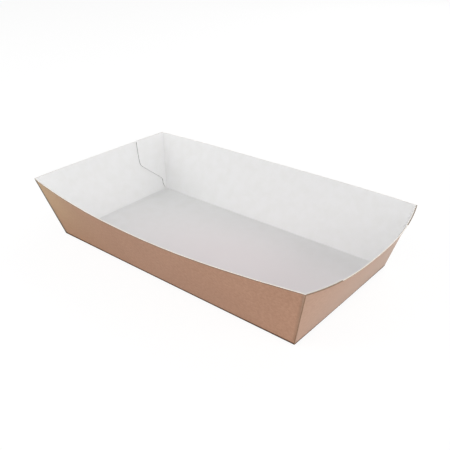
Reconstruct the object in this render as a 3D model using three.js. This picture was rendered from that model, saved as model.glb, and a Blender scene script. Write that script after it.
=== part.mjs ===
import * as THREE from 'three';
import { mergeVertices } from 'three/addons/utils/BufferGeometryUtils.js';

// Open paper food tray, folded and glued from one die-cut sheet of board. Millimetres, Z up.
// X runs along the tray, and the origin is under the middle of its floor.
// The long walls carry a glue tab at each end, which turns in behind the end wall.

// Sheet
const boardThickness = 0.45;
const creaseInsideRadius = 0.55; // inside of the four folds round the floor

// Floor, between its fold lines
const floorLength = 200;
const floorWidth = 102;

// Walls: height of the four rim corners, and how far out each wall stands there
const cornerHeight = 44;
const longWallFlare = 10.9;
const endWallFlare = 11.8;

// The springy board bows each rim out past its corners, by this much in the middle
const longWallBow = 8.8;
const endWallBow = 8.2;
const longWallBowPower = 2.1; // 2 is an even bow, and more keeps the middle straighter
const endWallBowPower = 2.4;

// Glue tab, measured on the flat sheet from the corner seam and up from the floor fold
const tabWidth = 24.6;
const tabNeckWidth = 3.4; // beside the seam, low down
const tabFootHeight = 6.5; // its foot is rounded off over this height
const tabFootLift = 0.7; // and clears the floor fold
const tabStraightEdge = 19.5; // upright stretch of the free edge, down from the rim
const tabSlopeHeight = 16.8; // below it the edge sweeps back towards the seam
const tabBend = 2.2; // softness of the two bends of the sweep

// Raw edge of the end wall, shown at each outer corner
const cutEdgeSetback = 0.05; // it stops just short of the long wall's outer face

// Facets
const creaseRows = 3;
const wallRows = 14;
const longWallSteps = 6; // from the middle of the wall to its corner
const endWallSteps = 4;
const tabSteps = 3;

const halfBoard = boardThickness / 2;
const foldRadius = creaseInsideRadius + halfBoard;
const footRow = creaseRows + 1;
const rimRow = footRow + wallRows;

const longWall = {
  fold: floorWidth / 2,
  flare: longWallFlare,
  bow: longWallBow,
  power: longWallBowPower,
  slant: Math.hypot(cornerHeight - halfBoard, longWallFlare),
};
const endWall = {
  fold: floorLength / 2,
  flare: endWallFlare,
  bow: endWallBow,
  power: endWallBowPower,
  slant: Math.hypot(cornerHeight - halfBoard, endWallFlare),
};

// Faces of the board, by their distance outside its middle layer
const outside = halfBoard;
const inside = -halfBoard;
const tabInside = inside - boardThickness;

// Lean from upright. Along a wall, 0 is its middle and 1 its corner.
// The slant height stays the same, so the rim drops a little where the wall leans out further.
function leanAt(wall, along) {
  const reach = wall.flare + wall.bow * (1 - Math.abs(along) ** wall.power);
  return Math.asin(reach / wall.slant);
}

// Rows run from the floor's edge, round the fold and up the wall to the rim.
function distanceUpWall(wall, lean, row) {
  const tangent = foldRadius * Math.tan((Math.PI / 2 - lean) / 2);
  const foot = tangent + tabFootLift;
  return foot + (wall.slant - foot) * (row - footRow) / wallRows;
}

// Section across a wall's floor fold: how far out from the fold line and how high a row lies,
// on the face that is the given distance outside the middle of the board.
function section(wall, lean, row, face) {
  if (row <= creaseRows) {
    const turn = Math.PI / 2 - lean;
    const tangent = foldRadius * Math.tan(turn / 2);
    const angle = turn * row / creaseRows;
    const radius = foldRadius + face;
    return {
      out: wall.fold - tangent + radius * Math.sin(angle),
      up: halfBoard + foldRadius - radius * Math.cos(angle),
    };
  }
  const distance = distanceUpWall(wall, lean, row);
  return {
    out: wall.fold + distance * Math.sin(lean) + face * Math.cos(lean),
    up: halfBoard + distance * Math.cos(lean) - face * Math.sin(lean),
  };
}

// How far out a wall's face lies at a given height beside its corner.
function faceAtHeight(wall, height, face) {
  const lean = leanAt(wall, 1);
  return wall.fold + (height - halfBoard) * Math.tan(lean) + face / Math.cos(lean);
}

// Corner where a face of the long wall meets a face of the end wall or of its tab.
// Round the floor fold the sheet is still single, so the corner there is a plain mitre.
function cornerPoint(row, skin, longFace, endFace) {
  const long = section(longWall, leanAt(longWall, 1), row, skin);
  if (row <= creaseRows) {
    const end = section(endWall, leanAt(endWall, 1), row, skin);
    return new THREE.Vector3(end.out, long.out, long.up);
  }
  const x = faceAtHeight(endWall, long.up, endFace);
  const y = faceAtHeight(longWall, long.up, longFace);
  return new THREE.Vector3(x, y, long.up);
}

const innerCorner = (row) => cornerPoint(row, inside, inside, tabInside);

// Outer corner, as distances outside the middle layers of the long wall and the end wall:
// the long wall rounds its corner crease, and the end wall's raw edge stands beside it.
const creaseMiddle = -boardThickness;
const creaseRound = halfBoard * Math.SQRT1_2;
const cutEdge = outside - cutEdgeSetback;
const outerSeam = [
  [outside, creaseMiddle],
  [creaseRound, creaseMiddle + creaseRound],
  [0, inside],
  [cutEdge, inside],
  [cutEdge, outside],
];

// Smooth step from flat to rising, rounded over about the given softness.
function softRamp(distance, softness) {
  return (distance + Math.hypot(distance, softness)) / 2;
}

// Free edge of a tab: how far from the seam it lies at a height up the end wall.
function tabReach(height) {
  const footShare = Math.min(Math.max(height / tabFootHeight, 0), 1);
  const foot = tabNeckWidth * (1 - (1 - footShare) ** 2);
  const top = endWall.slant - tabStraightEdge;
  const bottom = top - tabSlopeHeight;
  const sweep = (softRamp(height - bottom, tabBend) - softRamp(height - top, tabBend)) / tabSlopeHeight;
  return foot + (tabWidth - tabNeckWidth) * sweep * footShare;
}

function tabReachAtRow(row) {
  if (row <= creaseRows) {
    return 0;
  }
  return tabReach(distanceUpWall(endWall, leanAt(endWall, 1), row));
}

// Closed profile of the sheet at one place round the tray: from the middle of the floor
// out along its top, up the inner face, over the cut rim, down the outer face and back.
function profile(innerPoint, outerPoint) {
  const inner = [];
  const outer = [];
  for (let row = 0; row <= rimRow; row += 1) {
    inner.push(innerPoint(row));
    outer.push(outerPoint(row));
  }
  const top = new THREE.Vector3(0, 0, boardThickness);
  const bottom = new THREE.Vector3(0, 0, 0);
  return [top, ...inner, ...outer.reverse(), bottom];
}

function longWallProfile(along) {
  const lean = leanAt(longWall, along);
  const place = (row, face, corner) => {
    const cut = section(longWall, lean, row, face);
    return new THREE.Vector3(along * corner.x, cut.out, cut.up);
  };
  return profile(
    (row) => place(row, inside, innerCorner(row)),
    (row) => place(row, outside, cornerPoint(row, outside, ...outerSeam[0])),
  );
}

function seamProfile([longFace, endFace]) {
  return profile(innerCorner, (row) => cornerPoint(row, outside, longFace, endFace));
}

// Place along the end wall is given by share of the tab, 0 at the seam and 1 at its free edge,
// or by share of the bare wall between the tabs, 1 at the free edge and 0 in the middle.
function endWallProfile({ tabShare = 1, wallShare = 1, innerFace }) {
  const place = (row, face, corner) => {
    const seam = innerCorner(row).y;
    const reach = tabReachAtRow(row);
    const along = (seam - reach * tabShare) * wallShare / seam;
    if (along === 1) {
      return corner.clone();
    }
    const cut = section(endWall, leanAt(endWall, along), row, face);
    return new THREE.Vector3(cut.out, along * corner.y, cut.up);
  };
  return profile(
    (row) => place(row, row <= creaseRows ? inside : innerFace, innerCorner(row)),
    (row) => place(row, outside, cornerPoint(row, outside, ...outerSeam[outerSeam.length - 1])),
  );
}

// One quarter of the tray, from the middle of a long wall to the middle of an end wall.
function quarterProfiles() {
  const profiles = [];
  for (let step = 0; step < longWallSteps; step += 1) {
    profiles.push(longWallProfile(step / longWallSteps));
  }
  for (const faces of outerSeam) {
    profiles.push(seamProfile(faces));
  }
  for (let step = 1; step <= tabSteps; step += 1) {
    profiles.push(endWallProfile({ tabShare: step / tabSteps, innerFace: tabInside }));
  }
  for (let step = endWallSteps; step >= 0; step -= 1) {
    profiles.push(endWallProfile({ wallShare: step / endWallSteps, innerFace: inside }));
  }
  return profiles;
}

// The four quarters are alike, so the rest are mirrored, and every other one is run backwards.
function allProfiles() {
  const quarter = quarterProfiles();
  const mirrored = (alongX, alongY) => quarter.map((points) => points.map(
    (point) => new THREE.Vector3(point.x * alongX, point.y * alongY, point.z),
  ));
  return [
    ...mirrored(1, 1),
    ...mirrored(1, -1).reverse(),
    ...mirrored(-1, -1),
    ...mirrored(-1, 1).reverse(),
  ];
}

// Skin between neighbouring profiles. Points that coincide are merged,
// and triangles that shrink to a line there are dropped, which leaves one closed body.
function loftRound(profiles) {
  const corners = [];
  profiles.forEach((near, index) => {
    const far = profiles[(index + 1) % profiles.length];
    for (let i = 0; i + 1 < near.length; i += 1) {
      corners.push(near[i], far[i], near[i + 1]);
      corners.push(near[i + 1], far[i], far[i + 1]);
    }
  });
  const merged = mergeVertices(new THREE.BufferGeometry().setFromPoints(corners));
  const index = merged.getIndex().array;
  const kept = [];
  for (let i = 0; i < index.length; i += 3) {
    const [a, b, c] = index.slice(i, i + 3);
    if (a !== b && b !== c && c !== a) {
      kept.push(a, b, c);
    }
  }
  merged.setIndex(kept);
  merged.computeVertexNormals();
  return merged;
}

const kraftBoard = new THREE.MeshStandardMaterial({
  color: 0xb3937c,
  roughness: 0.85,
  metalness: 0,
  flatShading: true,
});

const tray = new THREE.Mesh(loftRound(allProfiles()), kraftBoard);
tray.name = 'tray';

const foodTray = new THREE.Group();
foodTray.add(tray);

export default foodTray;
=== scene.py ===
import math
import bpy
import numpy as np
from mathutils import Matrix, Vector


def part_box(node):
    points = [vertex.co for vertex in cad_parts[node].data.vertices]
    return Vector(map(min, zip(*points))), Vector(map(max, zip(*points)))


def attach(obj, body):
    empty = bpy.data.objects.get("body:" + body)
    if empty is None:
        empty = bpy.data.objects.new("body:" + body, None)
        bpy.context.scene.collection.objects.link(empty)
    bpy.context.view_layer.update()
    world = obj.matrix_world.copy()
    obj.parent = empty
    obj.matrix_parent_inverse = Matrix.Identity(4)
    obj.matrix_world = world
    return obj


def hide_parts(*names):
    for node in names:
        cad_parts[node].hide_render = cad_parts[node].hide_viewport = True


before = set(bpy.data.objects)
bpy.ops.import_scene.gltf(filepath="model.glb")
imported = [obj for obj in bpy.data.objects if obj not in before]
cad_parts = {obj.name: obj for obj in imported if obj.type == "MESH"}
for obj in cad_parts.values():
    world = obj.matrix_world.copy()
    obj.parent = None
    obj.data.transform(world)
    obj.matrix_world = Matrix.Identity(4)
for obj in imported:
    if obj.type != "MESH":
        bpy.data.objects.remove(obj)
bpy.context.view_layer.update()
boxLow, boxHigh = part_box("tray")
print("frame loaded, tray box", [round(v * 1000, 1) for v in boxHigh - boxLow], "mm")

# The tray is one die-cut sheet of board, folded and glued. Everything is in metres.
sheet = {
    "board": 0.00045,          # thickness
    "foldInside": 0.00055,     # inside radius of the four floor folds
    "floorLength": 0.200,      # between the fold lines
    "floorWidth": 0.102,
    "longFlare": 0.0109,       # how far out the rim stands at the corners
    "endFlare": 0.0118,
    "longBowPower": 2.1,       # 2 is an even bow, more keeps the middle straighter
    "endBowPower": 2.4,
    "cutSetback": 0.00005,     # end wall's raw edge, short of the long wall's outer face
    "edgeRound": 0.00006,      # softness of the die-cut rim
    "lapDepth": 0.0010,        # open gap between a tab and its wall at the rim
    "lapHalfWidth": 0.00018,
    "lapMiddle": 0.55,         # where it lies, as a share of the two boards' thickness
}

glueTab = {
    "width": 0.0246,           # from the corner seam to the upright free edge
    "neck": 0.0034,            # beside the seam, low down
    "footHeight": 0.0065,      # rounded off over this height
    "footLift": 0.0007,        # clear of the floor fold
    "straightEdge": 0.0195,    # upright stretch, down from the rim
    "slopeHeight": 0.0168,     # below it the edge sweeps back to the seam
    "upperBend": 0.0020,       # softness of the two bends
    "lowerBend": 0.0010,
}

# The board is never quite flat: slow waves, seen along the rims.
handling = {
    "longWave": 0.00022,
    "endWave": 0.00016,
    "longTurns": (1.7, 3.9, 7.3),
    "endTurns": (1.3, 2.9, 5.1),
    "share": (0.6, 0.3, 0.14),
    "phase": (0.8, 2.3, 4.1),
    "longShift": 0.9,          # so that facing walls don't wave alike
    "endShift": 0.7,
    "risePower": 1.5,          # how the waves grow from the floor fold up to the rim
    "sidePower": 6,            # and how they die out from the wall towards the tray's middle
    "fullerCorner": 0.0012,    # extra bow of the right end wall, towards the near corner
    "fullerScale": 2.6,        # brings the top of its curve to 1
    "fullerDrop": 0.35,        # how much the rim sinks for it
}

# Nicks that held the blank in its waste sheet, on the rim of the near long wall.
nicks = {
    "places": (0.0298, 0.0872),
    "halfWidth": 0.00045,
    "height": 0.0002,
    "depth": 0.0004,           # how far down the wall they reach
}

# Facets of the fine mesh
facets = {
    "floorRings": 12,
    "fold": 6,
    "wall": 40,
    "underRim": (0.0009, 0.0006, 0.0004, 0.0002),               # extra rows, down from the rim
    "longWall": 66,
    "beforeCorner": (0.0020, 0.0014, 0.0009, 0.0005, 0.00025),  # extra stations, from the corner
    "nick": 13,                # stations over each nick
    "nickReach": 4,            # in half widths
    "crease": 4,
    "tab": 12,
    "endWall": 26,
    "mergeScale": 1e7,         # points within a ten-thousandth of a millimetre are one
    "sharpAngle": 24,          # degrees between faces, from which an edge is sharp
}

halfBoard = sheet["board"] / 2
foldRadius = sheet["foldInside"] + halfBoard
outside, inside = halfBoard, -halfBoard
tabInside = inside - sheet["board"]
cornerLift = sheet["longFlare"] / math.hypot(boxHigh.z - halfBoard, sheet["longFlare"])
cornerHeight = boxHigh.z - halfBoard * cornerLift


def wallFacts(fold, flare, power, boxReach):
    # Slant height from the corner, then the bow that reaches the box in the wall's middle.
    slant = math.hypot(cornerHeight - halfBoard, flare)
    middleReach = boxReach - fold
    lean = math.asin(middleReach / slant)
    middleReach -= outside * math.cos(lean)
    bow = middleReach - flare
    return {"fold": fold, "flare": flare, "bow": bow, "power": power, "slant": slant}


longWall = wallFacts(sheet["floorWidth"] / 2, sheet["longFlare"], sheet["longBowPower"], boxHigh.y)
endWall = wallFacts(sheet["floorLength"] / 2, sheet["endFlare"], sheet["endBowPower"], boxHigh.x)

# Rows go from the floor's edge round the fold, then up the wall to the rim.
foldShare = np.linspace(0, 1, facets["fold"] + 1)
wallShare = np.linspace(0, 1, facets["wall"] + 1)
rimRows = np.array([*facets["underRim"], sheet["edgeRound"]])
wallShare = np.insert(wallShare, -1, 1 - rimRows / longWall["slant"])
rimInset = np.zeros(len(wallShare))
rimInset[-1] = sheet["edgeRound"]
foldCount = len(foldShare)
rowCount = foldCount + len(wallShare)
onWall = np.arange(rowCount) >= foldCount


def leanAt(wall, along):
    # Lean is the angle whose sine is reach over slant height; reach falls from flare plus bow
    # in the middle to flare at the corner, as one minus the place along the wall to a power.
    reach = wall["flare"] + wall["bow"] * (1 - np.abs(along) ** wall["power"])
    return np.arcsin(reach / wall["slant"])


def section(wall, lean, face, skin):
    # Across a floor fold: an arc tangent to the floor and to the wall, then a straight line at
    # the lean. Lean has a line for each place along the wall, with one value or one for each row.
    # Returns how far out, how high, and how far out on the flat sheet each row lies.
    lean = np.broadcast_to(lean, (len(lean), rowCount))
    turn = np.pi / 2 - lean[:, :foldCount]
    tangent = foldRadius * np.tan(turn / 2)
    radius = foldRadius + skin
    foldOut = wall["fold"] - tangent + radius * np.sin(turn * foldShare)
    foldUp = halfBoard + foldRadius - radius * np.cos(turn * foldShare)
    foldFlat = wall["fold"] - tangent + foldRadius * turn * foldShare
    wallLean = lean[:, foldCount:]
    wallTurn = np.pi / 2 - wallLean
    wallTangent = foldRadius * np.tan(wallTurn / 2)
    foot = wallTangent + glueTab["footLift"]
    distance = foot + (wall["slant"] - foot) * wallShare
    layer = face - np.sign(skin) * rimInset
    wallOut = wall["fold"] + distance * np.sin(wallLean) + layer * np.cos(wallLean)
    wallUp = halfBoard + distance * np.cos(wallLean) - layer * np.sin(wallLean)
    wallFlat = wall["fold"] + distance - 2 * wallTangent + foldRadius * wallTurn
    pairs = ((foldOut, wallOut), (foldUp, wallUp), (foldFlat, wallFlat))
    return tuple(np.hstack(pair) for pair in pairs)


def leaningPlane(wall, height, face):
    # How far out a wall's flat face lies at each height beside its corner, where the lean is even:
    # fold line, plus height times the lean's tangent, plus the face's distance over its cosine.
    lean = leanAt(wall, 1.0)
    return wall["fold"] + (height - halfBoard) * np.tan(lean) + face / np.cos(lean)


def cornerRows(skin, longFace, endFace):
    # Where a face of the long wall meets a face of the end wall or tab: at each height, the two
    # leaning planes give y and x. Round the floor fold the sheet is single, a plain mitre.
    longLean, endLean = (leanAt(wall, np.ones((1, 1))) for wall in (longWall, endWall))
    longOut, up, longFlat = (rows[0] for rows in section(longWall, longLean, skin, skin))
    endOut, _, endFlat = (rows[0] for rows in section(endWall, endLean, skin, skin))
    inset = np.concatenate([np.zeros(foldCount), rimInset]) * np.sign(skin)
    x = np.where(onWall, leaningPlane(endWall, up, endFace - inset), endOut)
    y = np.where(onWall, leaningPlane(longWall, up, longFace - inset), longOut)
    return np.stack([x, y, up], axis=1), longFlat, endFlat


def softRamp(distance, softness):
    # Flat, then rising one for one: half of the sum of distance and the root of its square
    # plus softness squared.
    return (distance + np.hypot(distance, softness)) / 2


def tabReach():
    # Free edge of a tab, as distance from the seam for each row: a rounded foot, a neck,
    # a sweep between two soft bends, and an upright stretch to the rim.
    lean = leanAt(endWall, 1.0)
    foot = foldRadius * math.tan((np.pi / 2 - lean) / 2) + glueTab["footLift"]
    height = foot + (endWall["slant"] - foot) * wallShare
    footShare = np.clip(height / glueTab["footHeight"], 0, 1)
    top = endWall["slant"] - glueTab["straightEdge"]
    bottom = top - glueTab["slopeHeight"]
    upper = softRamp(height - top, glueTab["upperBend"])
    sweep = softRamp(height - bottom, glueTab["lowerBend"]) - upper
    neck = glueTab["neck"] * (1 - (1 - footShare) ** 2)
    widening = glueTab["width"] - glueTab["neck"]
    reach = neck + widening * sweep / glueTab["slopeHeight"] * footShare
    return np.concatenate([np.zeros(foldCount), reach])


innerCorner, cornerLongFlat, _ = cornerRows(inside, inside, tabInside)
reachRows = tabReach()

# Outer corner, as distances outside the middle layers of the long wall and the end wall:
# the long wall rounds its corner crease, and the end wall's raw edge stands beside it.
creaseAngle = np.linspace(0, np.pi / 2, facets["crease"], endpoint=False)
outerSeam = [
    (halfBoard * math.cos(angle), halfBoard * math.sin(angle) - sheet["board"])
    for angle in creaseAngle
]
outerSeam.append((0.0, inside))
rawEdge = [
    (outside - sheet["cutSetback"], inside),
    (outside - sheet["cutSetback"], outside),
]
outerSeam.extend(rawEdge)

# Points across the cut rim, as shares from its inner edge, and how deep the middle one lies
lapGap = sheet["lapHalfWidth"] / (2 * sheet["board"])
lapMiddle = sheet["lapMiddle"]
plainRim = {"across": (0.25, 0.5, 0.75), "depth": 0}
lapRim = {"across": (lapMiddle - lapGap, lapMiddle, lapMiddle + lapGap), "depth": sheet["lapDepth"]}

# Numbers of the materials, in the order in which the tray gets them
whiteFace, kraftFace, rimEdge, seamEdge, tabEdge = range(5)


def closedProfiles(inner, outer, innerFlat, outerFlat, rimPoints=plainRim):
    # Each profile runs from the middle of the floor out along its top, up the inner face,
    # over the cut rim, and back down the outer face to the middle of the underside.
    rings = np.linspace(0, 1, facets["floorRings"], endpoint=False)[None, :, None]
    top = inner[:, :1] * rings
    top[:, :, 2] = sheet["board"]
    bottom = outer[:, :1] * rings
    bottom[:, :, 2] = 0
    across = np.array(rimPoints["across"])[None, :, None]
    dip = np.array([0, rimPoints["depth"], 0])[None, :, None]
    down = inner[:, -3:-2] - inner[:, -2:-1]
    down = down / np.linalg.norm(down, axis=2, keepdims=True)
    rim = inner[:, -1:] + (outer[:, -1:] - inner[:, -1:]) * across + down * dip
    rimFlat = innerFlat[:, -1:] + (outerFlat[:, -1:] - innerFlat[:, -1:]) * across
    topFlat = innerFlat[:, :1] * rings
    bottomFlat = outerFlat[:, :1] * rings
    places = np.concatenate([top, inner, rim, outer[:, ::-1], bottom[:, ::-1]], axis=1)
    flats = [topFlat, innerFlat, rimFlat, outerFlat[:, ::-1], bottomFlat[:, ::-1]]
    return places, np.concatenate(flats, axis=1)


def longWallPart():
    # Stations from the middle of a long wall to just before its corner, closer together over the
    # nicks and near the corner. The quarter is mirrored, so a nick counts on either half.
    halfLength = innerCorner[-1, 0]
    even = np.linspace(0, 1, facets["longWall"], endpoint=False)
    overNick = np.linspace(-facets["nickReach"], facets["nickReach"], facets["nick"])
    atNicks = [
        abs(place) / halfLength + overNick * nicks["halfWidth"] / halfLength
        for place in nicks["places"]
    ]
    atCorner = 1 - np.array(facets["beforeCorner"]) / halfLength
    along = np.unique(np.concatenate([even, *atNicks, atCorner]))[:, None]
    lean = leanAt(longWall, along)
    faces = []
    for skin, corner in ((inside, innerCorner), (outside, cornerRows(outside, *outerSeam[0])[0])):
        out, up, flat = section(longWall, lean, skin, skin)
        x = along * corner[:, 0]
        faces.append((np.stack([x, out, up], axis=2), np.stack([x, flat], axis=2)))
    (inner, innerFlat), (outer, outerFlat) = faces
    return closedProfiles(inner, outer, innerFlat, outerFlat)


def seamPart():
    # The rounded corner crease, the groove and the raw edge, on one shared inner corner.
    # The raw edge belongs to the end wall, so it carries on that wall's place on the flat sheet.
    outer, outerFlat = [], []
    for faces in outerSeam:
        points, longFlat, endFlat = cornerRows(outside, *faces)
        raw = onWall & (faces in rawEdge)
        outer.append(points)
        flatX = np.where(raw, endFlat, points[:, 0])
        flatY = np.where(raw, points[:, 1], longFlat)
        outerFlat.append(np.stack([flatX, flatY], axis=1))
    inner = np.repeat(innerCorner[None], len(outer), axis=0)
    cornerFlat = np.stack([innerCorner[:, 0], cornerLongFlat], axis=1)
    innerFlat = np.repeat(cornerFlat[None], len(outer), axis=0)
    return closedProfiles(inner, np.array(outer), innerFlat, np.array(outerFlat))


def endWallPart(tabShares, wallShares, onTab):
    # Place along the end wall is the seam less a share of the tab's reach, times a share of the
    # bare wall. On a tab the flat sheet carries on from the long wall, past its corner crease.
    seamY = innerCorner[:, 1]
    fromSeam = reachRows * tabShares[:, None]
    along = (seamY - fromSeam) * wallShares[:, None] / seamY
    lean = leanAt(endWall, along)
    atCorner = (along >= 1)[:, :, None]
    faces = []
    for skin, face, corner in (
        (inside, tabInside if onTab else inside, innerCorner),
        (outside, outside, cornerRows(outside, *outerSeam[-1])[0]),
    ):
        out, up, flat = section(endWall, lean, face, skin)
        points = np.stack([out, along * corner[:, 1], up], axis=2)
        points = np.where(atCorner, corner[None], points)
        faces.append((points, np.stack([flat, points[:, :, 1]], axis=2)))
    (inner, innerFlat), (outer, outerFlat) = faces
    if onTab:
        tabX = innerCorner[:, 0] + fromSeam
        innerFlat = np.stack([tabX, np.broadcast_to(cornerLongFlat, tabX.shape)], axis=2)
    return closedProfiles(inner, outer, innerFlat, outerFlat, lapRim if onTab else plainRim)


def quarterSheet():
    # One quarter, from the middle of a long wall to the middle of an end wall.
    tabShares = np.linspace(0, 1, facets["tab"] + 1)[1:]
    bareShares = np.linspace(1, 0, facets["endWall"] + 1)
    parts = [
        longWallPart(),
        seamPart(),
        endWallPart(tabShares, np.ones_like(tabShares), True),
        endWallPart(np.ones_like(bareShares), bareShares, False),
    ]
    places = np.concatenate([part[0] for part in parts])
    flats = np.concatenate([part[1] for part in parts])
    return places, flats, [len(part[0]) for part in parts]


def faceKinds(counts):
    # What each quad of the grid is: white inside, kraft outside, pale cut rim, a tab's cut edge,
    # or the raw edge and groove of a seam. The rim is the quads between its two soft edges, and
    # over a tab the gap of the lap is in its middle, with the end wall's own edge beyond it.
    rings = facets["floorRings"]
    quads = 2 * (rings + rowCount) + 2
    innerEdge = rings + rowCount - 2
    outerEdge = quads + 1 - innerEdge
    lapStart, lapEnd = innerEdge + 2, innerEdge + 4
    seamEnd = counts[0] + counts[1] - 1
    tabEnd = seamEnd + counts[2]
    quarter = np.full((sum(counts) - 1, quads), kraftFace)
    quarter[:, :innerEdge] = whiteFace
    quarter[:, innerEdge:outerEdge] = rimEdge
    # The seam's raw edge, a tab's cut edge, the lap's gap and the end wall's edge beyond it get the dark
    # edge materials: painted shade.
    quarter[seamEnd - len(rawEdge):seamEnd, quads - innerEdge:quads - rings] = seamEdge
    quarter[tabEnd, rings:innerEdge - len(rimRows)] = tabEdge
    quarter[seamEnd:tabEnd, lapStart:lapEnd] = tabEdge
    quarter[seamEnd:tabEnd, lapEnd:outerEdge] = seamEdge
    join = np.full((1, quads), kraftFace)
    return np.concatenate([quarter, join, quarter[::-1], join] * 2)


def wholeSheet():
    # The four quarters are mirror images, and every other one runs backwards.
    places, flats, counts = quarterSheet()
    turns = [(1, 1, 1), (1, -1, -1), (-1, -1, 1), (-1, 1, -1)]
    allPlaces = [(places * (alongX, alongY, 1))[::step] for alongX, alongY, step in turns]
    allFlats = [(flats * (alongX, alongY))[::step] for alongX, alongY, step in turns]
    return np.concatenate(allPlaces), np.concatenate(allFlats), faceKinds(counts)


def bell(*offsets):
    # Bell curve: e to the power of minus the sum of the squared offsets.
    return np.exp(-sum(offset ** 2 for offset in offsets))


def waveAlong(place, turns, strength):
    # Sum of three sines along the wall, each with its own turns, share and phase.
    terms = [
        share * np.sin(place * turn * np.pi + phase)
        for turn, share, phase in zip(turns, handling["share"], handling["phase"])
    ]
    return strength * sum(terms)


def workTheSheet(places):
    # Slow waves push each wall in, growing up the wall and fading away from it; the right end
    # wall bows out fuller on its near half, by place squared less its sixth power; then the
    # nicks lift the near rim as narrow bell curves.
    x, y, z = places[..., 0], places[..., 1], places[..., 2]
    shareX, shareY = x / boxHigh.x, y / boxHigh.y
    height = np.clip(z / boxHigh.z, 0, 1)
    rise = height ** handling["risePower"]
    longSide = np.clip(np.abs(shareY), 0, 1) ** handling["sidePower"]
    endSide = np.clip(np.abs(shareX), 0, 1) ** handling["sidePower"]
    longPlace = shareX + np.sign(y) * handling["longShift"]
    endPlace = shareY + np.sign(x) * handling["endShift"]
    longPush = np.abs(waveAlong(longPlace, handling["longTurns"], handling["longWave"]))
    endPush = np.abs(waveAlong(endPlace, handling["endTurns"], handling["endWave"]))
    nearHalf = np.clip(-shareY, 0, 1) * (x > 0)
    fuller = handling["fullerCorner"] * handling["fullerScale"] * (nearHalf ** 2 - nearHalf ** 6)
    fuller = fuller * height * endSide
    moved = places.copy()
    moved[..., 1] -= np.sign(y) * longPush * rise * longSide
    moved[..., 0] -= np.sign(x) * endPush * rise * endSide - fuller
    moved[..., 2] -= fuller * handling["fullerDrop"] * height
    nearWall = (y < 0) & (np.abs(y) > sheet["floorWidth"] / 2)
    atRim = bell((z - z.max(axis=1, keepdims=True)) / nicks["depth"]) * nearWall
    for place in nicks["places"]:
        moved[..., 2] += nicks["height"] * bell((x - place) / nicks["halfWidth"]) * atRim
    return moved


def gridFaces(number):
    # Quads between neighbouring profiles, from the number of each grid point. A quad that lost
    # one corner becomes a triangle, and one that shrank to a line is left out.
    # Returns quads and triangles, and where in the grid they come from.
    far = np.roll(number, -1, axis=0)
    quads = np.stack([number[:, :-1], number[:, 1:], far[:, 1:], far[:, :-1]], axis=2)
    quads = quads.reshape(-1, 4)[:, ::-1]
    same = quads == np.roll(quads, -1, axis=1)
    whole = np.flatnonzero(~same.any(axis=1))
    single = np.flatnonzero(same.sum(axis=1) == 1)
    lostCornerLast = np.argsort(same[single], axis=1, kind="stable")
    triangles = np.take_along_axis(quads[single], lostCornerLast, axis=1)[:, :3]
    threeCorners = triangles[:, 0] != triangles[:, 2]
    return quads[whole], triangles[threeCorners], np.concatenate([whole, single[threeCorners]])


def foldedTray():
    # The grid of the whole sheet, worked a little, with points that coincide merged.
    places, flats, kinds = wholeSheet()
    places = workTheSheet(places)
    points = places.reshape(-1, 3)
    rounded = np.round(points * facets["mergeScale"]).astype(np.int64)
    _, first, merged = np.unique(rounded, axis=0, return_index=True, return_inverse=True)
    quads, triangles, sources = gridFaces(merged.reshape(places.shape[:2]))
    vertices = points[first]
    corners = np.concatenate([quads.ravel(), triangles.ravel()]).astype(np.int32)
    totals = np.repeat([4, 3], [len(quads), len(triangles)]).astype(np.int32)
    starts = np.concatenate([[0], np.cumsum(totals)[:-1]]).astype(np.int32)
    mesh = bpy.data.meshes.new("foldedTray")
    mesh.vertices.add(len(vertices))
    mesh.loops.add(len(corners))
    mesh.polygons.add(len(totals))
    mesh.vertices.foreach_set("co", vertices.astype(np.float32).ravel())
    mesh.loops.foreach_set("vertex_index", corners)
    mesh.polygons.foreach_set("loop_start", starts)
    mesh.polygons.foreach_set("loop_total", totals)
    mesh.polygons.foreach_set("material_index", kinds.reshape(-1)[sources].astype(np.int32))
    mesh.update(calc_edges=True)
    mesh.validate()
    mesh.polygons.foreach_set("use_smooth", np.ones(len(mesh.polygons), dtype=bool))
    mesh.set_sharp_from_angle(angle=math.radians(facets["sharpAngle"]))
    addSheetPlace(mesh, flats.reshape(-1, 2)[first])
    addShadeAndTone(mesh, vertices)
    piece = bpy.data.objects.new("foldedTray", mesh)
    bpy.context.collection.objects.link(piece)
    return piece


def addSheetPlace(mesh, flatPlaces):
    # Where each point lies on the flat sheet, so that the grain follows the board round its folds.
    layer = mesh.attributes.new("sheetPlace", "FLOAT_VECTOR", "POINT")
    flat = np.zeros((len(flatPlaces), 3), dtype=np.float32)
    flat[:, :2] = flatPlaces
    layer.data.foreach_set("vector", flat.ravel())


# Painted shade at the floor folds and corner seams, a dark line under the rim, a painted sheen on the
# right end, and slow changes of tone over the tray, each kept on the mesh as an attribute
shadeAndTone = {
    "fold": 0.0018,            # width of the painted shade lines at the floor folds
    "rim": 0.00032,            # dark line just under the die-cut rim, and its depth
    "rimDepth": 0.0005,
    "seam": 0.0019,            # painted shade line at the corner seams
    "seamMargin": 0.0002,      # past the seam a face still counts as the long wall's
    "otherSeams": 0.28,        # the near left seam gets the darkest painted shade
    "paintedSheen": 0.46,             # painted sheen: the right end's kraft is paler, most on its far side
    "sheenRise": 0.24,
    "deeperFrom": 0.085,       # the kraft grows deeper to the left of here, over this length
    "deeperOver": 0.16,
    "tanned": 0.85,            # yellow tan at the left end of the near wall
    "tannedMiddle": (-0.118, -0.070, 0.044),
    "tannedReach": (0.048, 0.030, 0.040),
    "rosyMiddle": (0.03, -0.01),   # faint rosy tint inside, towards the near right
    "rosyReach": (0.10, 0.05),
}


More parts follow.
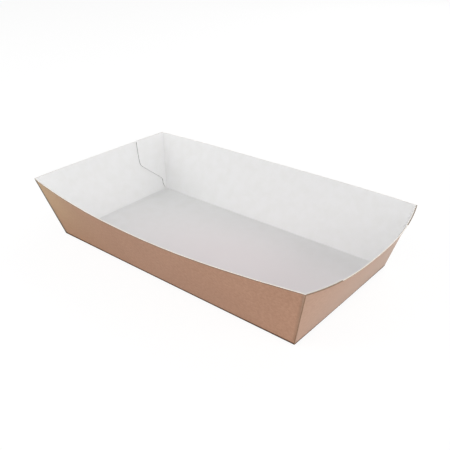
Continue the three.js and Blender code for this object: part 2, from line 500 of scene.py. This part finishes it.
def rimHeight(wall, along):
    # Top of the outer face: half the board, plus the slant height upright, less the board's lean.
    lean = leanAt(wall, np.clip(along, 0, 1))
    return halfBoard + wall["slant"] * np.cos(lean) - outside * np.sin(lean)


def bellAbout(places, middle, reach):
    # Bell curve about a place: its offsets are distances from the middle over the reach.
    return bell(*((values - centre) / width for values, centre, width in zip(places, middle, reach)))


def addShadeAndTone(mesh, vertices):
    # Painted shade as bell curves of the distance to the floor folds and to the corner seams, a dark
    # line as a bell curve below the outer rim, a painted sheen as a ramp over the right end, and the
    # broad tints: a ramp to the left, and bell curves at the near left and inside.
    x, y, z = vertices.T
    pastLong = np.abs(y) - sheet["floorWidth"] / 2
    pastEnd = np.abs(x) - sheet["floorLength"] / 2
    reach = np.minimum(-pastEnd, -pastLong)
    toFold = np.hypot(np.clip(reach, 0, None), np.clip(z - halfBoard, 0, None))
    creaseRows, rawRows = (cornerRows(outside, *outerSeam[k])[0][onWall] for k in (0, -1))
    seamX = np.interp(z, creaseRows[:, 2], creaseRows[:, 0])
    seamY = np.interp(z, rawRows[:, 2], rawRows[:, 1])
    toSeam = np.hypot(np.abs(x) - seamX, np.abs(y) - seamY)
    onLongFace = np.abs(y) > seamY - shadeAndTone["seamMargin"]
    mostShaded = (x < 0) & (y < 0) & onLongFace
    onLong = pastLong > pastEnd
    longTop = rimHeight(longWall, np.abs(x) / innerCorner[-1, 0])
    endTop = rimHeight(endWall, np.abs(y) / innerCorner[-1, 1])
    belowRim = np.where(onLong, longTop, endTop) - z
    nick = sum(bell((x - place) / nicks["halfWidth"]) for place in nicks["places"]) * (y < 0)
    layers = {
        "foldShade": bell(toFold / shadeAndTone["fold"]),
        "underRimLine": bell((belowRim - shadeAndTone["rimDepth"]) / shadeAndTone["rim"]) * (1 - nick),
        "seamShade": bell(toSeam / shadeAndTone["seam"]) * np.where(mostShaded, 1.0, shadeAndTone["otherSeams"]),
        "paintedSheen": (x > 0) * ~onLong * (shadeAndTone["paintedSheen"] + shadeAndTone["sheenRise"] * y / boxHigh.y),
        "rosy": bellAbout((x, y), shadeAndTone["rosyMiddle"], shadeAndTone["rosyReach"]),
        "deeper": np.clip((shadeAndTone["deeperFrom"] - x) / shadeAndTone["deeperOver"], 0, 1),
        "tanned": bellAbout((x, y, z), shadeAndTone["tannedMiddle"], shadeAndTone["tannedReach"]),
    }
    layers["tanned"] *= shadeAndTone["tanned"] * onLongFace
    for name, values in layers.items():
        layer = mesh.attributes.new(name, "FLOAT", "POINT")
        layer.data.foreach_set("value", values.astype(np.float32))


def paint(red, green, blue):
    # Screen colour, 0 to 255, on the shader's linear scale: the standard screen curve, turned back.
    channels = np.array([red, green, blue]) / 255
    linear = np.where(channels <= 0.04045, channels / 12.92, ((channels + 0.055) / 1.055) ** 2.4)
    return (*[float(channel) for channel in linear], 1.0)


def feed(tree, socket, value):
    # Another node's output is linked to the socket, and a plain value is set on it.
    if isinstance(value, bpy.types.NodeSocket):
        tree.links.new(value, socket)
    else:
        socket.default_value = value


def mathNode(tree, how, first, second):
    node = tree.nodes.new("ShaderNodeMath")
    node.operation = how
    feed(tree, node.inputs[0], first)
    feed(tree, node.inputs[1], second)
    return node.outputs[0]


class Recipe:
    # A material being put together node by node, from the dictionary of its finish.
    def __init__(self, name, facts):
        self.material = bpy.data.materials.new(name)
        self.material.use_nodes = True
        self.tree = self.material.node_tree
        self.shader = self.tree.nodes["Principled BSDF"]
        self.facts = facts
        self.sheetPlace = self.attribute("sheetPlace", "Vector")
        self.patterns = {key: self.noise(*numbers) for key, numbers in facts["patterns"].items()}
        self.shares = {}  # how much of each layer shows

    def add(self, kind, inputs=None, **settings):
        node = self.tree.nodes.new(kind)
        for key, value in settings.items():
            setattr(node, key, value)
        for key, value in (inputs or {}).items():
            feed(self.tree, node.inputs[key], value)
        return node

    def feedShader(self, socket, value):
        feed(self.tree, self.shader.inputs[socket], value)

    def attribute(self, name, output):
        return self.add("ShaderNodeAttribute", attribute_name=name).outputs[output]

    def noise(self, scale, detail, roughness, distortion, stretch=None, turn=0.0):
        place = self.sheetPlace
        if stretch:
            inputs = {"Vector": place, "Scale": stretch, "Rotation": (0, 0, turn)}
            place = self.add("ShaderNodeMapping", inputs).outputs["Vector"]
        inputs = {
            "Vector": place, "Scale": scale, "Detail": detail,
            "Roughness": roughness, "Distortion": distortion,
        }
        return self.add("ShaderNodeTexNoise", inputs).outputs["Fac"]

    def between(self, value, low, high, toLow, toHigh):
        inputs = {"Value": value, "From Min": low, "From Max": high, "To Min": toLow, "To Max": toHigh}
        return self.add("ShaderNodeMapRange", inputs, clamp=True).outputs["Result"]

    def blend(self, share, first, second, how="MIX"):
        # For colours, this node has its share at 0, its colours at 6 and 7, its result at 2.
        inputs = {0: share, 6: first, 7: second}
        return self.add("ShaderNodeMix", inputs, data_type="RGBA", blend_type=how).outputs[2]

    def bump(self, height, strength, distance, normal=None):
        inputs = {"Height": height, "Strength": strength, "Distance": distance}
        if normal is not None:
            inputs["Normal"] = normal
        return self.add("ShaderNodeBump", inputs).outputs["Normal"]

    def layColours(self):
        # Each layer lays its colour on more, as its pattern or attribute goes from low to high.
        tone = paint(*self.facts["base"])
        for source, colour, low, high, strength, *how in self.facts["layers"]:
            value = self.patterns[source] if source in self.patterns else self.attribute(source, "Fac")
            self.shares[source] = self.between(value, low, high, 0.0, strength)
            tone = self.blend(self.shares[source], tone, paint(*self.facts[colour]), *how)
        self.feedShader("Base Color", tone)


# A pattern is noise: scale, detail, roughness and distortion, then stretch and turn, if any.
# A layer is a pattern or an attribute of painted shade, painted sheen or tone: its colour, where it
# starts, where it is full, and its strength. A bump is strength and depth.
kraft = {
    "base": (187, 142, 115),
    "fibreLight": (197, 153, 126),
    "fibreDark": (161, 117, 91),
    # painted sheen on the right end
    "paintedSheen": (191, 174, 161),
    "deeper": (239, 234, 225),
    "tanned": (196, 166, 124),
    # dark brown for the painted shade at the floor folds, and for the line under the rim
    "darkBrown": (72, 52, 40),
    # painted shade at the corner seams
    "seamShadow": (70, 60, 46),
    "patterns": {
        "mottle": (520.0, 3.0, 0.6, 0.2),
        "broad": (38.0, 2.0, 0.5, 0.0),
        "longFibres": (1.0, 3.0, 0.6, 0.9, (900.0, 3000.0, 1.0), 0.06),
        "shortFibres": (1.0, 2.0, 0.55, 1.2, (2600.0, 1300.0, 1.0), 0.5),
        "flecks": (1700.0, 1.0, 0.5, 0.6),
    },
    "layers": [
        ("mottle", "fibreLight", 0.38, 0.64, 1.0),
        ("broad", "fibreDark", 0.38, 0.66, 0.14),
        ("longFibres", "fibreLight", 0.58, 0.74, 0.30),
        ("shortFibres", "fibreDark", 0.60, 0.74, 0.40),
        ("flecks", "fibreDark", 0.66, 0.76, 0.55),
        # painted sheen on the right end
        ("paintedSheen", "paintedSheen", 0.0, 1.0, 1.0),
        ("deeper", "deeper", 0.0, 1.0, 1.0, "MULTIPLY"),
        ("tanned", "tanned", 0.0, 1.0, 1.0),
        # painted shade at the floor folds
        ("foldShade", "darkBrown", 0.25, 0.8, 0.95),
        # darker line just under the rim
        ("underRimLine", "darkBrown", 0.1, 0.9, 0.75),
        # painted shade at the corner seams
        ("seamShade", "seamShadow", 0.15, 0.75, 0.9),
    ],
    "fibreRange": (0.3, 0.7),
    "roughness": (0.78, 0.66),     # between the long fibres and on them
    "specular": (0.35, 0.5),       # and the share of painted fold shade at which it is gone
    "sheen": (0.12, 0.3),
    "sheenRoughness": 0.45,
    "shortRelief": 0.7,            # height of the short fibres beside the long ones
    "fibreBump": (0.35, 0.00005),
    "mottleBump": (0.15, 0.0001),
}


def kraftLiner():
    # Brown kraft: fine mottling, short and long fibres, pale and dark flecks, then a painted sheen on
    # the right end, its tints, painted shade at the floor folds and seams, and a dark line under the
    # rim.
    recipe = Recipe("kraftLiner", kraft)
    recipe.layColours()
    longFibres, shortFibres = recipe.patterns["longFibres"], recipe.patterns["shortFibres"]
    recipe.feedShader("Roughness", recipe.between(longFibres, *kraft["fibreRange"], *kraft["roughness"]))
    for socket, (most, gone) in (
        ("Specular IOR Level", kraft["specular"]),
        ("Sheen Weight", kraft["sheen"]),
    ):
        recipe.feedShader(socket, recipe.between(recipe.shares["foldShade"], 0.0, gone, most, 0.0))
    recipe.shader.inputs["Sheen Roughness"].default_value = kraft["sheenRoughness"]
    lowFibres = mathNode(recipe.tree, "MULTIPLY", shortFibres, kraft["shortRelief"])
    relief = mathNode(recipe.tree, "ADD", longFibres, lowFibres)
    fibreNormal = recipe.bump(relief, *kraft["fibreBump"])
    mottle = recipe.patterns["mottle"]
    recipe.feedShader("Normal", recipe.bump(mottle, *kraft["mottleBump"], fibreNormal))
    return recipe.material


coating = {
    "base": (238, 238, 238),
    "shade": (235, 235, 234),
    "rosy": (238, 231, 232),
    # painted shade in the inner crease of the floor folds
    "fold": (222, 222, 221),
    "patterns": {
        "cloud": (130.0, 3.0, 0.55, 0.2),
        "grain": (1.0, 3.0, 0.55, 0.6, (1100.0, 2600.0, 1.0), 0.1),
    },
    "layers": [
        ("cloud", "shade", 0.38, 0.66, 1.0),
        ("rosy", "rosy", 0.1, 0.9, 1.0),
        # painted shade along the floor folds
        ("foldShade", "fold", 0.2, 1.0, 0.2),
    ],
    "grainRange": (0.3, 0.7),
    "roughness": (0.5, 0.6),
    "specular": 0.4,
    "grainBump": (0.12, 0.00003),
    "cloudBump": (0.03, 0.0001),
}


def whiteCoating():
    # Smooth white clay coat over the fibres, with a soft sheen, the faintest clouds, and painted shade
    # along the floor folds.
    recipe = Recipe("whiteCoating", coating)
    recipe.layColours()
    grain, cloud = recipe.patterns["grain"], recipe.patterns["cloud"]
    recipe.feedShader("Roughness", recipe.between(grain, *coating["grainRange"], *coating["roughness"]))
    recipe.shader.inputs["Specular IOR Level"].default_value = coating["specular"]
    grainNormal = recipe.bump(grain, *coating["grainBump"])
    recipe.feedShader("Normal", recipe.bump(cloud, *coating["cloudBump"], grainNormal))
    return recipe.material


rimCut = {
    "base": (255, 250, 242),
    "dark": (240, 228, 214),
    "patterns": {"specks": (2200.0, 2.0, 0.6, 0.4)},
    "layers": [("specks", "dark", 0.44, 0.70, 1.0)],
    "roughness": 0.9,
    "specular": 0.2,
    "bump": (0.4, 0.00005),
}

shadedTabCut = {
    # The tab's cut edge is painted dark grey, as painted shade of the gap along it.
    "base": (124, 123, 121),
    "dark": (104, 102, 99),
    "lessShaded": (214, 212, 209),      # paler, with less painted shade, at the right end of the tray
    "patterns": {"specks": (2200.0, 2.0, 0.6, 0.4)},
    "layers": [
        ("specks", "dark", 0.44, 0.70, 1.0),
        ("paintedSheen", "lessShaded", 0.05, 0.15, 1.0),
    ],
    "roughness": 0.95,
    "specular": 0.2,
    "bump": (0.4, 0.00005),
}

shadedSeamCut = {
    # The raw edge is painted darker brown than the pale rim, as painted shade in the seam and its
    # groove.
    "base": (148, 120, 96),
    "light": (170, 141, 116),
    "seamShadow": (78, 66, 50),        # painted shade, at the near left seam
    "patterns": {"specks": (1500.0, 3.0, 0.6, 0.5)},
    "layers": [
        ("specks", "light", 0.4, 0.7, 1.0),
        ("seamShade", "seamShadow", 0.4, 0.9, 1.0),
    ],
    "roughness": 0.95,
    "specular": 0.15,
    "bump": (0.5, 0.00006),
}


def cutEdge(name, facts):
    # Die-cut edge of the board: fibres end on, with specks between them.
    recipe = Recipe(name, facts)
    recipe.layColours()
    recipe.feedShader("Normal", recipe.bump(recipe.patterns["specks"], *facts["bump"]))
    recipe.shader.inputs["Roughness"].default_value = facts["roughness"]
    recipe.shader.inputs["Specular IOR Level"].default_value = facts["specular"]
    return recipe.material


# The view of the photograph
shot = {
    "azimuth": 40.779,         # degrees, as are elevation and roll
    "elevation": 27.807,
    "roll": -1.016,
    "distance": 0.41278,
    "slide": 0.00618,          # camera's own shift to its right, and up
    "lift": 0.01666,
    "lens": 47.892,            # focal length and film width in millimetres
    "sensor": 36,
    "clipStart": 0.01,
}

# The studio: a plain world, five panels of light and a white floor
studio = {
    "world": 0.285,
    "panelSize": 0.9,
    "panelDistance": 1.2,
    "panels": {                # azimuth as for the camera, elevation, watts
        "sidePanel": (100, 12, 7.8),
        "frontRightPanel": (45, 35, 3.4),
        "frontLeftPanel": (-45, 35, 3.9),
        "frontLowPanel": (-30, 18, 3.3),
        "backPanel": (180, 35, 4.35),
    },
    "floorHalf": 12.0,
    "floorDrop": 0.0002,
    "floorWhite": 0.70,
    "floorRoughness": 0.9,
    "floorGlow": 0.80,         # how much of the floor's look is plain white
    "floorStrength": 1.12,
}


def directionTo(azimuth, elevation):
    # From the tray outwards. Azimuth 0 is in front of the near long wall, 90 beyond the right end.
    turn, rise = math.radians(azimuth), math.radians(elevation)
    level = math.cos(rise)
    return Vector((math.sin(turn) * level, -math.cos(turn) * level, math.sin(rise)))


def placeCamera():
    # Looks back along its direction from the tray, turned by the roll, then slid and lifted.
    turn, roll = math.radians(shot["azimuth"]), math.radians(shot["roll"])
    back = directionTo(shot["azimuth"], shot["elevation"])
    level = Vector((math.cos(turn), math.sin(turn), 0))
    upright = back.cross(level)
    right = level * math.cos(roll) + upright * math.sin(roll)
    up = upright * math.cos(roll) - level * math.sin(roll)
    data = bpy.data.cameras.new("shotCamera")
    data.lens = shot["lens"]
    data.sensor_width = shot["sensor"]
    data.clip_start = shot["clipStart"]
    camera = bpy.data.objects.new("shotCamera", data)
    place = Matrix((right, up, back)).transposed().to_4x4()
    place.translation = back * shot["distance"] + right * shot["slide"] + up * shot["lift"]
    camera.matrix_world = place
    bpy.context.collection.objects.link(camera)
    bpy.context.scene.camera = camera


def seenWhite(tree, shader, whiteKind, glow=1.0, strength=1.0):
    # Plain white for what the camera and shiny things see, mixed with the lit shader.
    path = tree.nodes.new("ShaderNodeLightPath").outputs
    shiny = mathNode(tree, "MAXIMUM", path["Is Glossy Ray"], path["Is Transmission Ray"])
    seen = mathNode(tree, "MAXIMUM", path["Is Camera Ray"], shiny)
    white = tree.nodes.new(whiteKind)
    white.inputs["Color"].default_value = (1, 1, 1, 1)
    white.inputs["Strength"].default_value = strength
    mix = tree.nodes.new("ShaderNodeMixShader")
    feed(tree, mix.inputs[0], mathNode(tree, "MULTIPLY", seen, glow))
    feed(tree, mix.inputs[1], shader.outputs[0])
    feed(tree, mix.inputs[2], white.outputs[0])
    return mix.outputs[0]


def lightWorld():
    world = bpy.data.worlds.new("studioWorld")
    bpy.context.scene.world = world
    world.use_nodes = True
    tree = world.node_tree
    lit = tree.nodes["Background"]
    lit.inputs["Color"].default_value = (1, 1, 1, 1)
    lit.inputs["Strength"].default_value = studio["world"]
    surface = seenWhite(tree, lit, "ShaderNodeBackground")
    tree.links.new(surface, tree.nodes["World Output"].inputs["Surface"])


def hangPanels():
    # Square panels of light, all at one distance and facing the tray.
    for name, (azimuth, elevation, watts) in studio["panels"].items():
        data = bpy.data.lights.new(name, "AREA")
        data.shape = "SQUARE"
        data.size = studio["panelSize"]
        data.energy = watts
        lamp = bpy.data.objects.new(name, data)
        towards = directionTo(azimuth, elevation)
        lamp.location = towards * studio["panelDistance"]
        lamp.rotation_euler = towards.to_track_quat("Z", "Y").to_euler()
        bpy.context.collection.objects.link(lamp)


def layFloor():
    half = studio["floorHalf"]
    mesh = bpy.data.meshes.new("studioFloor")
    corners = [(-half, -half, 0), (half, -half, 0), (half, half, 0), (-half, half, 0)]
    mesh.from_pydata(corners, [], [(0, 1, 2, 3)])
    floor = bpy.data.objects.new("studioFloor", mesh)
    floor.location.z = -studio["floorDrop"]
    bpy.context.collection.objects.link(floor)
    material = bpy.data.materials.new("floorPaper")
    material.use_nodes = True
    tree = material.node_tree
    shader = tree.nodes["Principled BSDF"]
    shader.inputs["Base Color"].default_value = (studio["floorWhite"],) * 3 + (1,)
    shader.inputs["Roughness"].default_value = studio["floorRoughness"]
    glow, strength = studio["floorGlow"], studio["floorStrength"]
    surface = seenWhite(tree, shader, "ShaderNodeEmission", glow, strength)
    tree.links.new(surface, tree.nodes["Material Output"].inputs["Surface"])
    mesh.materials.append(material)


placeCamera()
lightWorld()
hangPanels()
layFloor()
print("camera and studio placed")

tray = foldedTray()
for material in (
    whiteCoating(),
    kraftLiner(),
    cutEdge("cutRim", rimCut),
    # the raw seam and tab edges are painted dark, as painted shade
    cutEdge("shadedRawSeam", shadedSeamCut),
    cutEdge("shadedTabCut", shadedTabCut),
):
    tray.data.materials.append(material)
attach(tray, "root")
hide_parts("tray")
print("tray folded,", len(tray.data.polygons), "faces")

bpy.context.scene.view_settings.view_transform = "Standard"
